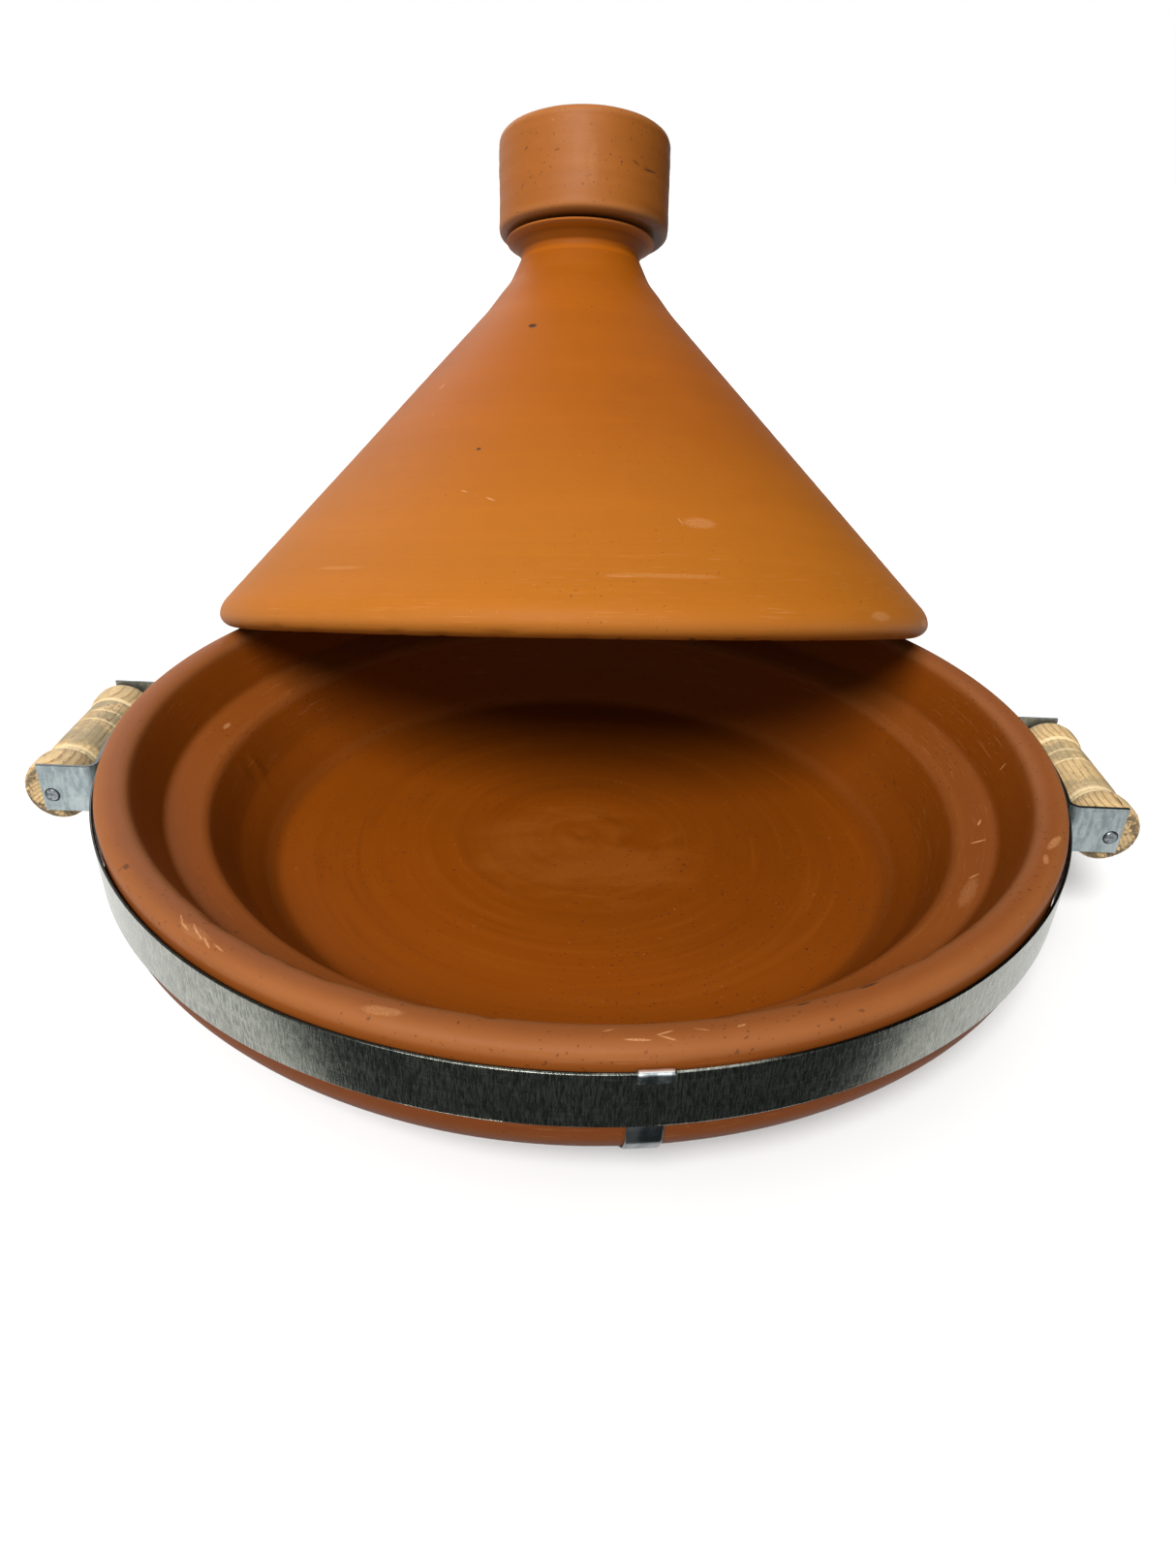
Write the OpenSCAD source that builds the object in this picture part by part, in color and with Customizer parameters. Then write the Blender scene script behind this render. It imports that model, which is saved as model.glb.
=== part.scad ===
// Cooking tagine: banded clay dish with two wooden grips, and a conical clay lid.
// Row frame: origin at the centre of the dish's resting face, +Z up, front is -Y.
// The lid is stored at rest, leaning on the dish rim with its rear lip on the table.

/* [Dish] */
// Outside radius of the clay wall behind the band
dish_r = 188; // [186:1:190]
// Height from the table to the top of the rim
dish_h = 71; // [70:1:74]
// Thickness of the clay under the bowl's floor
floor_t = 12.7; // [10:0.5:14]
// Radius of the flat bottom of the bowl
floor_r = 124; // [118:1:126]

/* [Band and strap] */
// Height of the steel band strip
band_h = 20; // [18:1:22]
// Thickness of the steel band strip
band_t = 1; // [0.8:0.1:1.2]
// Clearance between the clay and the band, where the strap passes
band_gap = 1; // [1:0.1:1.2]
// Height of the band's top edge above the table
band_top = 64; // [62:1:65]
// Width of the under-strap
strap_w = 10.5; // [8:0.5:12]
// Thickness of the under-strap
strap_t = 0.7; // [0.6:0.05:0.7]
// Length of the fold that hooks over the band's top edge
fold_l = 3.8; // [3:0.2:6]
// Turn of the strap away from the front centre line, towards the right grip
strap_turn = 6.5; // [0:0.5:12]

/* [Handles] */
// Length of a wooden grip between the bracket ears
grip_l = 73; // [70:1:76]
// Radius of the grip's end beads
bead_r = 13; // [12.4:0.1:13]
// Radius of the grip's centre section
waist_r = 11.8; // [11:0.1:11.8]
// Diameter of the steel rod
rod_d = 5; // [4.6:0.2:5.2]
// Distance from the dish axis to the rod
rod_x = 204.2; // [204:0.1:206]
// Height of the rod above the table
rod_z = 51; // [50:0.5:53]
// Position of the handles' middle along Y
handle_y = -6.5; // [-8:0.5:0]
// Thickness of the bracket strip
bracket_t = 1.2; // [1:0.1:1.2]
// Inside radius of the bracket's bends
bend_r = 3; // [2:0.5:3.5]

/* [Lid] */
// Outside radius of the lid's rounded lip
lip_r = 172; // [170:0.5:173]
// Thickness of the lid wall, measured level
wall_t = 10.5; // [9:0.5:11]
// Height of the cone from the lip to the top of the collar
cone_h = 185.9; // [184:0.1:188]
// Outside radius of the knob cup
knob_r = 41; // [39.5:0.5:42]
// Height of the knob cup above the collar
knob_h = 44.9; // [43:0.1:47]
// Depth of the knob cup's hollow
cup_d = 32; // [28:1:34]
// Sideways offset of the knob from the cone's axis
knob_shift = 1.5; // [0:0.1:2]

/* [Lid at rest] */
// Backward tilt of the resting lid
lid_tilt = 21.5; // [21.5:0.1:22]
// Distance from the dish axis back to the centre of the lid's lip
lid_back = 116; // [116:0.5:120]
// Turn of the resting lid about the dish axis, towards the left grip
lid_turn = 3.8; // [0:0.1:6]

/* [Hidden] */
$fn = 96;

band_r = dish_r + band_gap + band_t;   // outside of the band
fit = 0.02;                            // gap between parts that lie on each other
strap_gap = 0.15;                      // clearance round the strap
groove_d = strap_gap + strap_t;        // depth of the strap's groove in the base
foot_r = dish_r - 54;                  // edge of the flat base
foot_slope = 0.2;                      // rise of the wall just outside the base
table_gap = 0.1;                       // lid lip above the table at rest

rivet_r = 1.6;
rivet_head_r = 3.2;
rivet_head_h = 1.2;
rivet_inner_h = 0.6;                   // thin head in the gap behind the band
rivet_slop = 0.05;
lap_turn = 5;                          // half angle of the band's overlap at the back

bore_r = rod_d / 2 + 0.08;             // running bore through a grip
ear_hole_r = rod_d / 2 + 0.45;
ear_edge = 3.9;                        // from the rod's axis to the ear's outer edge
end_play = 0.3;                        // grip to ear, each end
rod_proud = 0.5;                       // rod end beyond the ear's outer face
ear_y = grip_l / 2 + end_play;         // inner face of an ear from the handle's middle

// Outside of the dish from the edge of its base up to the band
wall_low = [[dish_r - 46, 1.6], [dish_r - 32, 7.5], [dish_r - 16, 17.5],
    [dish_r - 4, 29.8], [dish_r - 0.6, 36], [dish_r, 41]];

// Outside of the lid from the lip's underside to the top of the collar
neck_r = 28.5;
collar_r = 35.6;
lid_out = [[lip_r - 7.4, 0], [lip_r - 4.2, 0.7], [lip_r - 1.6, 2.3], [lip_r - 0.2, 4.6],
    [lip_r, 6.6], [lip_r - 0.6, 9.4], [lip_r - 2.4, 12.7], [45.5, cone_h - 35.4],
    [39.7, cone_h - 27.6], [33.9, cone_h - 20.4], [30.7, cone_h - 13.5], [28.9, cone_h - 9.6],
    [neck_r, cone_h - 8.3], [neck_r, cone_h - 7.1], [30, cone_h - 5.4], [31.1, cone_h - 3.8],
    [33.4, cone_h - 2.2], [collar_r - 0.1, cone_h - 1.1], [collar_r, cone_h - 0.5],
    [collar_r - 0.6, cone_h]];
crown_z = cone_h - 10.9;                 // top of the hollow under the collar

// Height that puts the tilted lip's lowest point just above the table
lid_z = table_gap + max([for (p = lid_out) p[0] * sin(lid_tilt) - p[1] * cos(lid_tilt)]);

function unit(v) = v / norm(v);
function out_normal(a, b) = let (d = unit(b - a)) [d[1], -d[0]];

// A path moved sideways by d, towards the right of its direction
function shifted(p, d) = [for (i = [0 : len(p) - 1])
    let (n = len(p) - 1,
         a = out_normal(p[max(i - 1, 0)], p[max(i, 1)]),
         b = out_normal(p[min(i, n - 1)], p[min(i + 1, n)]))
    p[i] + d * (a + b) / (1 + a * b)];

function reversed(p) = [for (i = [len(p) - 1 : -1 : 0]) p[i]];

module at_rest() {
    rotate([0, 0, lid_turn]) translate([0, lid_back, lid_z]) rotate([-lid_tilt, 0, 0]) children();
}

// Both ends of the strap: the front one, then the same turned to the back
module strap_line() {
    rotate([0, 0, strap_turn - 90]) for (turn = [0, 180]) rotate([0, 0, turn]) children();
}

module dish() {
    color("sienna")
    difference() {
        rotate_extrude() polygon(concat(
            [[0, 0], [foot_r, 0]],
            wall_low,
            [[dish_r, dish_h - 3.5], [dish_r - 0.7, dish_h - 1.7], [dish_r - 2.4, dish_h - 0.5],
             [dish_r - 5, dish_h], [dish_r - 8.6, dish_h - 0.3], [dish_r - 11.7, dish_h - 1.7],
             [dish_r - 19.6, dish_h - 17], [dish_r - 21.2, dish_h - 20.1],
             [dish_r - 33.7, dish_h - 24.9], [dish_r - 36.5, dish_h - 27],
             [floor_r + 18, floor_t + 14.8], [floor_r + 7.5, floor_t + 2.3],
             [floor_r + 4.8, floor_t + 0.5], [floor_r, floor_t], [0, floor_t]]));
        rotate([0, 0, strap_turn]) translate([-(strap_w + 1.5) / 2, -dish_r, -1])
            cube([strap_w + 1.5, 2 * dish_r, 1 + groove_d]);
    }
}

module lid_cone() {
    // the hollow follows the outside at the wall's thickness, and ends under the collar
    hollow = [[lip_r - 9.4, 1.2], [lip_r - 11, 5], [lip_r - 4.5 - wall_t, 15],
        [45.5 - wall_t, cone_h - 35.4], [39.7 - wall_t, cone_h - 27.6],
        [20, cone_h - 16.9], [12, crown_z - 1.2], [0, crown_z]];
    color("peru") at_rest() rotate_extrude() polygon(concat(lid_out, [[0, cone_h]], reversed(hollow)));
}

module lid_knob() {
    base = cone_h + fit;
    top = cone_h + knob_h;
    color("peru") at_rest() translate([knob_shift, 0, 0]) rotate_extrude() polygon([
        [0, base], [29, base], [29.6, base + 1.2], [knob_r - 2.6, base + 1.4],
        [knob_r - 0.85, base + 2.5], [knob_r - 0.2, base + 4.4], [knob_r - 0.3, base + 18],
        [knob_r, top - 13], [knob_r - 0.15, top - 2.5], [knob_r - 0.7, top - 1],
        [knob_r - 1.7, top - 0.2], [knob_r - 2.7, top], [knob_r - 6.3, top], [knob_r - 7.8, top - 1],
        [knob_r - 8.2, top - 4], [knob_r - 9.4, top - cup_d + 6],
        [knob_r - 12.4, top - cup_d + 1.4], [knob_r - 17, top - cup_d], [0, top - cup_d]]);
}

// A rivet at the band, lying along +X: thin head inside, shank, domed head outside
module rivet(outer_r) {
    inner_r = dish_r + band_gap;
    rotate([0, 90, 0]) {
        translate([0, 0, inner_r - rivet_inner_h - fit])
            cylinder(r = rivet_head_r, h = rivet_inner_h);
        translate([0, 0, inner_r - rivet_inner_h - fit])
            cylinder(r = rivet_r, h = outer_r - inner_r + rivet_inner_h + 2 * fit + rivet_head_h / 2);
        translate([0, 0, outer_r + 0.06]) rotate_extrude() polygon([
            [0, 0], [rivet_head_r, 0], [rivet_head_r, 0.25], [rivet_head_r - 0.7, 0.8],
            [rivet_head_r - 1.7, rivet_head_h], [0, rivet_head_h]]);
    }
}

module rivet_hole() {
    rotate([0, 90, 0]) translate([0, 0, dish_r - 5]) cylinder(r = rivet_r + rivet_slop, h = 15);
}

module at_mid_band() {
    translate([0, 0, band_top - band_h / 2]) children();
}

// Turns, about the dish axis, of the two rivets behind each grip and of the two in the lap
bracket_rivet_y = [-28, 17];
lap_rivet_turns = [87.6, 92.4];

module at_bracket_rivets() {
    for (y = bracket_rivet_y) rotate([0, 0, asin(y / band_r)]) at_mid_band() children();
}

module band() {
    color("lightsteelblue")
    difference() {
        translate([0, 0, band_top - band_h]) linear_extrude(band_h) difference() {
            union() {
                circle(r = band_r);
                intersection() {
                    circle(r = band_r + band_t);
                    polygon([[0, 0], 2 * band_r * [cos(90 - lap_turn), sin(90 - lap_turn)],
                        2 * band_r * [cos(90 + lap_turn), sin(90 + lap_turn)]]);
                }
            }
            circle(r = band_r - band_t);
        }
        for (a = lap_rivet_turns) rotate([0, 0, a]) at_mid_band() rivet_hole();
        for (m = [0, 1]) mirror([m, 0, 0]) at_bracket_rivets() rivet_hole();
    }
}

module band_rivets() {
    color("silver") for (a = lap_rivet_turns) rotate([0, 0, a]) at_mid_band() rivet(band_r + band_t);
}

module strap() {
    // half of the strap from under the dish's centre to its hook, in the plane of its run
    path = concat([[0, groove_d], [foot_r + groove_d / foot_slope, groove_d]], wall_low,
        [[dish_r, band_top]]);
    near = shifted(path, strap_gap);
    far = shifted(path, strap_gap + strap_t);
    top = band_top + strap_gap + strap_t;
    hook_r = band_r + strap_gap;
    color("gray") strap_line() rotate([90, 0, 0]) translate([0, 0, -strap_w / 2])
        linear_extrude(strap_w) union() {
            polygon(concat(near, reversed(far)));
            polygon([[dish_r + strap_gap, band_top - 1], [dish_r + strap_gap, top - 0.4],
                [dish_r + strap_gap + 0.4, top], [hook_r + strap_t - 0.4, top],
                [hook_r + strap_t, top - 0.4], [hook_r + strap_t, top - fold_l],
                [hook_r, top - fold_l], [hook_r, top - strap_t],
                [dish_r + strap_gap + strap_t, top - strap_t],
                [dish_r + strap_gap + strap_t, band_top - 1]]);
        }
}

// Bracket outline seen from above, on the right: back plate on the band, two bends, two ears
module bracket_outline() {
    back_r = band_r + fit + bracket_t;
    bend_c = back_r + bend_r;
    ends = [handle_y - ear_y + bend_r, handle_y + ear_y - bend_r];
    turns = [for (y = ends) asin(y / bend_c)];
    far = 2 * band_r;
    lap = 0.1;   // degrees that the plate runs into each bend
    intersection() {
        difference() { circle(r = back_r); circle(r = band_r + fit); }
        polygon([[0, 0], far * [cos(turns[0] - lap), sin(turns[0] - lap)],
            far * [cos(turns[1] + lap), sin(turns[1] + lap)]]);
    }
    for (i = [0, 1]) {
        side = i == 0 ? -1 : 1;
        translate(bend_c * [cos(turns[i]), sin(turns[i])]) {
            intersection() {
                difference() { circle(r = bend_r + bracket_t); circle(r = bend_r); }
                polygon([[0, 0], -20 * [cos(turns[i]), sin(turns[i])], [-20, side * 20], [0, side * 20]]);
            }
            translate([0, side > 0 ? bend_r : -bend_r - bracket_t])
                square([rod_x + ear_edge - bend_c * cos(turns[i]), bracket_t]);
        }
    }
}

module bracket() {
    difference() {
        translate([0, 0, band_top - band_h]) linear_extrude(band_h) bracket_outline();
        translate([rod_x, handle_y + 2 * grip_l, rod_z]) rotate([90, 0, 0])
            cylinder(r = ear_hole_r, h = 4 * grip_l);
        at_bracket_rivets() rivet_hole();
    }
}

module rod() {
    l = 2 * (ear_y + bracket_t + rod_proud);
    translate([rod_x, handle_y + l / 2, rod_z]) rotate([90, 0, 0]) rotate_extrude() polygon([
        [0, 0], [rod_d / 2 - 0.3, 0], [rod_d / 2, 0.3], [rod_d / 2, l - 0.3],
        [rod_d / 2 - 0.3, l], [0, l]]);
}

// Turned grip: two end beads, a cut band by the front bead and two fine grooves
module grip() {
    e = grip_l / 2;
    translate([rod_x, handle_y, rod_z]) rotate([-90, 0, 0]) rotate_extrude() polygon([
        [bore_r, -e], [bead_r - 3.4, -e], [bead_r - 1.8, -e + 0.4], [bead_r - 0.6, -e + 1.7],
        [bead_r, -e + 4], [bead_r, -e + 10.4], [bead_r - 0.6, -e + 13.6], [waist_r - 0.2, -e + 14.8],
        [waist_r - 0.8, -e + 15.2], [waist_r - 0.8, -e + 17.6], [waist_r - 1.3, -e + 17.9],
        [waist_r - 1.3, -e + 18.3], [waist_r - 0.8, -e + 18.6], [waist_r - 0.6, -e + 20.8],
        [waist_r, -e + 21.3], [waist_r, 3.4], [waist_r - 0.6, 4], [waist_r, 4.6],
        [waist_r, 11.4], [waist_r - 0.6, 12], [waist_r, 12.6], [waist_r - 0.1, e - 15.3],
        [waist_r - 0.8, e - 14.6], [waist_r + 0.1, e - 13.8], [bead_r - 0.3, e - 11.4],
        [bead_r, e - 9], [bead_r, e - 4], [bead_r - 0.6, e - 1.7], [bead_r - 1.8, e - 0.4],
        [bead_r - 3.4, e], [bore_r, e]]);
}

module bracket_rivets() { at_bracket_rivets() rivet(band_r + fit + bracket_t); }

module right_bracket() { color("lightslategray") bracket(); }
module left_bracket() { color("lightslategray") mirror([1, 0, 0]) bracket(); }
module right_bracket_rivets() { color("silver") bracket_rivets(); }
module left_bracket_rivets() { color("silver") mirror([1, 0, 0]) bracket_rivets(); }
module right_rod() { color("dimgray") rod(); }
module left_rod() { color("dimgray") mirror([1, 0, 0]) rod(); }
module right_grip() { color("burlywood") grip(); }
module left_grip() { color("burlywood") mirror([1, 0, 0]) grip(); }

dish();
lid_cone();
lid_knob();
band();
band_rivets();
strap();
left_bracket();
right_bracket();
left_bracket_rivets();
right_bracket_rivets();
left_rod();
right_rod();
left_grip();
right_grip();
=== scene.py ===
"""Looks for a banded clay tagine: turned clay, galvanised band and brackets, two pine grips."""
import math

import bpy
import numpy as np
from mathutils import Matrix, Vector, noise


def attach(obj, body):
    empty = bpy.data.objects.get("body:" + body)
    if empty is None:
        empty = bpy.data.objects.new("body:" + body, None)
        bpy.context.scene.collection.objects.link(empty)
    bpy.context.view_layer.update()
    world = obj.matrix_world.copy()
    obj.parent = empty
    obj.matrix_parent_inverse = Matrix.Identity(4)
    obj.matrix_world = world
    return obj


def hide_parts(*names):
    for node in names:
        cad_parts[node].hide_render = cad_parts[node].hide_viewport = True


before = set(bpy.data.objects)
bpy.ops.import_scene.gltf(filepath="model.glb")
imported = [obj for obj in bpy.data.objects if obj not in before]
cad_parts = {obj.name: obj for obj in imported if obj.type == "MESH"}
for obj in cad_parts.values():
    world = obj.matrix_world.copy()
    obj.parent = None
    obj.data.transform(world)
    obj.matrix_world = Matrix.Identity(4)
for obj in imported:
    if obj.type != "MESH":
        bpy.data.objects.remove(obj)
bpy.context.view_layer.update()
scene = bpy.context.scene
MM = 0.001
FULL = 2 * math.pi

# Sizes repeated from the CAD source, in millimetres
DISH_R, DISH_H = 188.0, 71.0
BOWL_R, BOWL_Z = 124.0, 12.7               # the bowl's flat floor
BAND_R, BAND_LOW, BAND_TOP = 190.0, 44.0, 64.0
BAND_T = 1.0
STRAP_TURN, STRAP_W, STRAP_T = 6.5, 10.5, 0.7
LIP_R, COLLAR_Z = 172.0, 185.9
KNOB_R, KNOB_TOP, CUP_Z, KNOB_SHIFT = 41.0, 230.8, 198.8, 1.5
LID_TILT, LID_BACK, LID_Z, LID_TURN = 21.5, 116.0, 60.948, 3.8
ROD_X, ROD_Z, HANDLE_Y = 204.2, 51.0, -6.5
GRIP_HALF, BEAD_R, WAIST_R = 36.5, 13.0, 11.8
ROD_R, ROD_HALF = 2.5, 38.5



# ---------------------------------------------------------------- camera
CAMERA_AT = (2.0, -384.8, 267.9)
CAMERA_DOWN = 30.74
CAMERA_ROLL = 2.32


def make_camera():
    down, roll = math.radians(CAMERA_DOWN), math.radians(CAMERA_ROLL)
    ahead = Vector((0, math.cos(down), -math.sin(down)))
    right, up = Vector((1, 0, 0)), Vector((0, math.sin(down), math.cos(down)))
    tilted_right = math.cos(roll) * right + math.sin(roll) * up
    tilted_up = -math.sin(roll) * right + math.cos(roll) * up
    data = bpy.data.cameras.new("camera")
    data.lens, data.sensor_width, data.sensor_fit = 24.0, 36.0, "AUTO"
    data.clip_start, data.clip_end = 0.01, 100
    camera = bpy.data.objects.new("camera", data)
    scene.collection.objects.link(camera)
    turn = Matrix((tilted_right, tilted_up, -ahead)).transposed().to_4x4()
    camera.matrix_world = Matrix.Translation(Vector(CAMERA_AT) * MM) @ turn
    scene.camera = camera


make_camera()


# ---------------------------------------------------------------- meshes
SAMPLE = 0.1                               # spacing at which a path's bend is measured, mm
AXIS = 1e-6                                # a radius below this is on the axis


def rounded(points, radius, closed=False):
    """The polyline with each corner cut to a short curve."""
    points = [np.array(p, float) for p in points]
    if closed:
        triples = [(points[i - 1], points[i], points[(i + 1) % len(points)])
                   for i in range(len(points))]
        out = []
    else:
        triples = list(zip(points, points[1:], points[2:]))
        out = [points[0]]
    for a, b, c in triples:
        to_a, to_c = a - b, c - b
        cut = min(radius, 0.45 * np.linalg.norm(to_a), 0.45 * np.linalg.norm(to_c))
        p = b + to_a / np.linalg.norm(to_a) * cut
        q = b + to_c / np.linalg.norm(to_c) * cut
        for t in (0, 0.25, 0.5, 0.75, 1):
            out.append((1 - t) ** 2 * p + 2 * t * (1 - t) * b + t * t * q)
    out.append(out[0] if closed else points[-1])
    return np.array(out)


def stations(path, coarse, fine):
    """Points along the path, close together where it bends, with how far along and how bent."""
    steps = np.linalg.norm(np.diff(path, axis=0), axis=1)
    keep = np.concatenate([[True], steps > 1e-6])
    path = path[keep]
    far = np.concatenate([[0], np.cumsum(np.linalg.norm(np.diff(path, axis=0), axis=1))])
    count = int(far[-1] / SAMPLE) + 1
    even = np.linspace(0, far[-1], count)
    r, z = np.interp(even, far, path[:, 0]), np.interp(even, far, path[:, 1])
    heading = np.unwrap(np.arctan2(np.gradient(z), np.gradient(r)))
    bend = np.gradient(heading, even)
    reach = np.exp(-0.5 * (np.arange(-30, 31) / 12.0) ** 2)
    bend = np.convolve(np.pad(bend, 30, mode="edge"), reach / reach.sum(), mode="valid")
    step = np.maximum(fine, coarse / (1 + 9 * np.abs(bend)))
    progress = np.concatenate([[0], np.cumsum(SAMPLE / step[1:])])
    picks = np.linspace(0, progress[-1], int(progress[-1]) + 2)
    at = np.interp(picks, progress, even)
    return (np.interp(at, even, r), np.interp(at, even, z), at,
            np.tanh(6 * np.interp(at, even, bend)))


def finish_mesh(name, verts, faces, place, body, slot, replaces, **values):
    """Makes the object from rows in millimetres, in place; keeps its own coordinates as "local"."""
    own = verts * MM
    turned = own @ np.array(place.to_3x3()).T + np.array(place.translation)
    mesh = bpy.data.meshes.new(name)
    mesh.from_pydata(turned.tolist(), [], faces)
    mesh.shade_smooth()
    mesh.attributes.new("local", "FLOAT_VECTOR", "POINT").data.foreach_set(
        "vector", own.astype(np.float32).ravel())
    for key, value in values.items():
        mesh.attributes.new(key, "FLOAT", "POINT").data.foreach_set(
            "value", np.asarray(value, np.float32))
    obj = bpy.data.objects.new(name, mesh)
    scene.collection.objects.link(obj)
    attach(obj, body)
    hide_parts(*replaces)
    return obj


def lathe(name, profile, place, body, slot, replaces, around=400, coarse=2.0, fine=0.5,
          corner=1.0, closed=False, shape=None):
    """Turns a profile of radius and height about Z. shape gives the inward or outward move."""
    r, z, along, bend = stations(rounded(profile, corner, closed), coarse, fine)
    if closed:
        r, z, along, bend = r[:-1], z[:-1], along[:-1], bend[:-1]
        dr = np.roll(r, -1) - np.roll(r, 1)
        dz = np.roll(z, -1) - np.roll(z, 1)
    else:
        dr, dz = np.gradient(r), np.gradient(z)
    size = np.maximum(np.hypot(dr, dz), 1e-9)
    nr, nz = dz / size, -dr / size
    turn = np.arange(around) * FULL / around
    move = np.zeros((len(r), around))
    if shape is not None:
        move = shape(turn[None, :], r[:, None], z[:, None], along[:, None])
        move = np.broadcast_to(move, (len(r), around)).copy()
    on_axis = r < AXIS
    move[on_axis] = move[on_axis].mean() if on_axis.any() else 0
    rr = np.where(on_axis[:, None], 0, r[:, None] + nr[:, None] * move)
    zz = z[:, None] + nz[:, None] * move
    verts = np.stack([rr * np.cos(turn), rr * np.sin(turn), zz], 2)
    rows, index = [], 0
    flat, along_out, bend_out = [], [], []
    for i in range(len(r)):
        if on_axis[i]:
            rows.append([index] * around)
            flat.append(verts[i, :1])
            width = 1
        else:
            rows.append(list(range(index, index + around)))
            flat.append(verts[i])
            width = around
        along_out += [along[i] * MM] * width
        bend_out += [bend[i]] * width
        index += width
    faces = []
    last = len(rows) if closed else len(rows) - 1
    for i in range(last):
        a, b = rows[i], rows[(i + 1) % len(rows)]
        for j in range(around):
            k = (j + 1) % around
            face = [a[j], a[k], b[k], b[j]]
            face = [v for n, v in enumerate(face) if v != face[n - 1]]
            if len(face) > 2:
                faces.append(face)
    return finish_mesh(name, np.concatenate(flat), faces, place, body, slot, replaces,
                       along=along_out, edge=bend_out)


def field(x, y, z, seed=0.0, octaves=3):
    """Smooth noise from -1 to 1 at each point."""
    x, y, z = np.broadcast_arrays(x, y, z)
    out = np.empty(x.size)
    for i, p in enumerate(zip(x.ravel(), y.ravel(), z.ravel())):
        out[i] = noise.fractal((p[0] + seed, p[1], p[2]), 1.0, 2.0, octaves)
    return out.reshape(x.shape)


def hump(value, centre, half):
    """One at the centre, falling smoothly to nothing at half away."""
    return np.clip(1 - ((value - centre) / half) ** 2, 0, 1) ** 2


def wobble(turn, seed, *waves):
    """Sum of a few waves round the piece: (count, height)."""
    rng = np.random.default_rng(seed)
    return sum(h * np.sin(n * turn + rng.uniform(0, FULL)) for n, h in waves)


def angle_gap(turn, degrees):
    """How far, in radians, each turn is from an angle."""
    return (turn - math.radians(degrees) + math.pi) % FULL - math.pi


# ---- the dish
DISH = [(0, 0), (DISH_R - 54, 0), (DISH_R - 46, 1.6), (DISH_R - 32, 7.5), (DISH_R - 16, 17.5),
        (DISH_R - 4, 29.8), (DISH_R - 0.6, 36), (DISH_R, 41), (DISH_R, DISH_H - 3.5),
        (DISH_R - 0.7, DISH_H - 1.7), (DISH_R - 2.4, DISH_H - 0.5), (DISH_R - 5, DISH_H),
        (DISH_R - 8.6, DISH_H - 0.3), (DISH_R - 11.7, DISH_H - 1.7), (DISH_R - 19.6, DISH_H - 17),
        (DISH_R - 21.2, DISH_H - 20.1), (DISH_R - 33.7, DISH_H - 24.9),
        (DISH_R - 36.5, DISH_H - 27), (BOWL_R + 18, BOWL_Z + 14.8), (BOWL_R + 7.5, BOWL_Z + 2.3),
        (BOWL_R + 4.8, BOWL_Z + 0.5), (BOWL_R, BOWL_Z), (0, BOWL_Z)]
GROOVE_HALF, GROOVE_DEEP = 6.0, 0.85


def dish_shape(turn, r, z, along):
    x, y = r * np.cos(turn), r * np.sin(turn)
    floor = (along > 290) & (z < 13)
    wall = (along > 247) & ~floor
    rings = np.sin(r / 4.6 + 0.7 * np.sin(turn + r / 26))
    out = np.where(floor, 0.09 * rings * hump(r, 62, 72) + 0.25 * hump(np.hypot(x, y + 14), 0, 26), 0)
    out = out + np.where(wall, 0.05 * np.sin(z * 1.3 + 0.8 * np.sin(turn * 2)), 0)
    out = out + 0.16 * field(x / 110, y / 110, z / 70 + 3, 4) * (z > 2)
    # the strap's groove under the base
    line = math.radians(STRAP_TURN - 90)
    beside = np.abs(-x * math.sin(line) + y * math.cos(line))
    under = (z < 0.4) & (along < 136)
    out = out - np.where(under, GROOVE_DEEP * np.clip((GROOVE_HALF + 0.6 - beside) / 0.9, 0, 1), 0)
    # the rim's grazed inner edge: shallow bites of differing length, most at the front left
    brow = np.exp(-((r - 176.4) / 1.3) ** 2) * (z > 67)
    bites = np.clip(field(np.cos(turn) * 14, np.sin(turn) * 14, 0, 11, 4) - 0.12, 0, 1)
    grazed = hump(angle_gap(turn, -118), 0, 0.45) + 0.35 * hump(angle_gap(turn, -60), 0, 0.5)
    out = out - brow * (0.12 + 1.7 * bites * grazed)
    for where, wide, deep in ((-113, 2.4, 0.55), (-97, 1.2, 0.4), (-76, 1.2, 0.35), (-62, 3.0, 0.45),
                              (-54, 1.6, 0.35), (-128, 1.6, 0.4), (-22, 1.4, 0.3)):
        out = out - brow * deep * hump(angle_gap(turn, where), 0, math.radians(wide))
    # a small ridge of slip run down the bowl's wall, at the left
    for where, high, wide, tall, proud in ((174.5, 33, 1.3, 5.5, 0.55), (176, 27, 1.2, 3.2, 0.4),
                                           (178.5, 37, 1.6, 2.2, 0.3)):
        gap = np.hypot(angle_gap(turn, where) * 145 / wide, (z - high) / tall)
        out = out + np.where(wall, proud * hump(gap, 0, 1.6), 0)
    return out


dish = lathe("dish_body", DISH, Matrix.Identity(4), "dish", "dish_clay", ["dish"],
             around=432, coarse=2.4, fine=0.7, corner=3.0, shape=dish_shape)

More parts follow.
